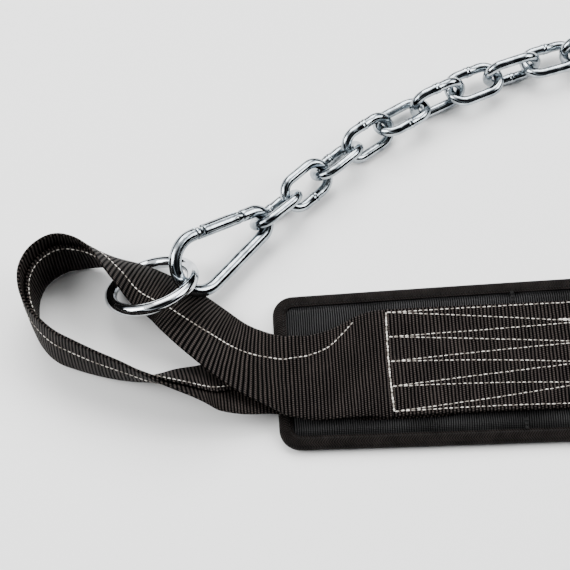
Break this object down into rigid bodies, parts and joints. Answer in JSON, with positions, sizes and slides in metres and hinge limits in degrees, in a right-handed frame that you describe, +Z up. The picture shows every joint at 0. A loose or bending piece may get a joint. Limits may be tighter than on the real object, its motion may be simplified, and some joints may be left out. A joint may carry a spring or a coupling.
{
  "type": "weightlifting dip belt",
  "caption": "Padded dip belt for hanging weights: ribbed pad, wide webbing with a folded loop at each end, steel rings, a spring snap hook and a welded chain.",
  "frame": {"origin": "under the middle of the whole belt, on the surface that it lies on", "axes": "+X along the pad, away from the hook; +Y across it, towards the chain; +Z up"},
  "size_m": [0.9078, 0.2932, 0.0429],
  "materials": {
    "nylon": "ribbed blue-black nylon, slight sheen",
    "binding": "woven black tape, matt",
    "webbing": "heavy ribbed brown-black webbing, matt",
    "steel": "polished steel",
    "zinc": "bright zinc-plated steel"
  },
  "bodies": {
    "belt": {"pad_body": "nylon", "pad_binding": "binding", "webbing_band": "webbing", "left_loop": "webbing", "right_loop": "webbing", "left_ring": "steel", "right_ring": "steel", "carabiner_body": "zinc", "gate_pin": "steel", "chain_link_01": "zinc", "chain_link_02": "zinc", "chain_link_03": "zinc", "chain_link_04": "zinc", "chain_link_05": "zinc", "chain_link_06": "zinc", "chain_link_07": "zinc", "chain_link_08": "zinc", "chain_link_09": "zinc", "chain_link_10": "zinc", "chain_link_11": "zinc", "chain_link_12": "zinc", "chain_link_13": "zinc", "chain_link_14": "zinc", "chain_link_15": "zinc", "chain_link_16": "zinc", "chain_link_17": "zinc", "chain_link_18": "zinc", "chain_link_19": "zinc", "chain_link_20": "zinc", "chain_link_21": "zinc", "chain_link_22": "zinc", "chain_link_23": "zinc", "chain_link_24": "zinc", "chain_link_25": "zinc", "chain_link_26": "zinc", "chain_link_27": "zinc", "chain_link_28": "zinc"},
    "gate": {"carabiner_gate": "zinc"}
  },
  "joints": [
    {"name": "gate_hinge", "type": "hinge", "parent": "belt", "child": "gate", "pos_m": [-0.32005, 0.00667, 0.02453], "axis": [0.5149, -0.4616, 0.7223], "range_deg": [0, 24], "stiffness_Nm_per_rad": 0.3, "springref_deg": -17.19}
  ]
}
